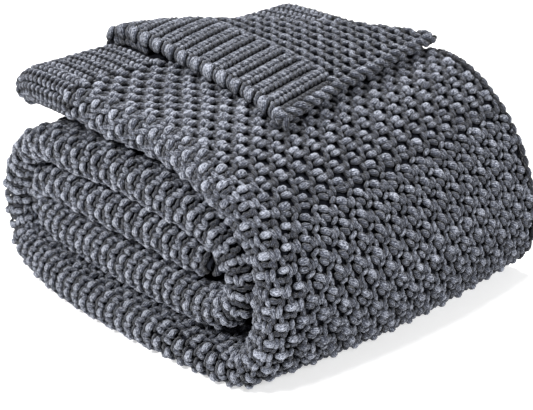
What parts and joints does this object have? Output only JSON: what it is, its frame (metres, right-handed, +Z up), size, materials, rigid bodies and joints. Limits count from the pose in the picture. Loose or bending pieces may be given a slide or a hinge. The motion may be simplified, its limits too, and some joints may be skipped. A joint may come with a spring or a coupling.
{
  "type": "chunky knit blanket",
  "caption": "Chunky knit throw blanket, folded lengthwise and rolled up flat, with ribbed ends and one outer corner turned over on top.",
  "frame": {"origin": "middle of the flat underside, at the bottom of the bounding box", "axes": "+Z up, X across the roll along the width of the folded band, Y along the flat of the roll, with the front wall towards -Y"},
  "size_m": [0.3442, 0.363, 0.1986],
  "materials": {
    "knit": "soft matt blue-grey heather yarn, chunky seed stitch with ribbed borders"
  },
  "bodies": {
    "root": {"blanket": "knit"}
  },
  "joints": []
}
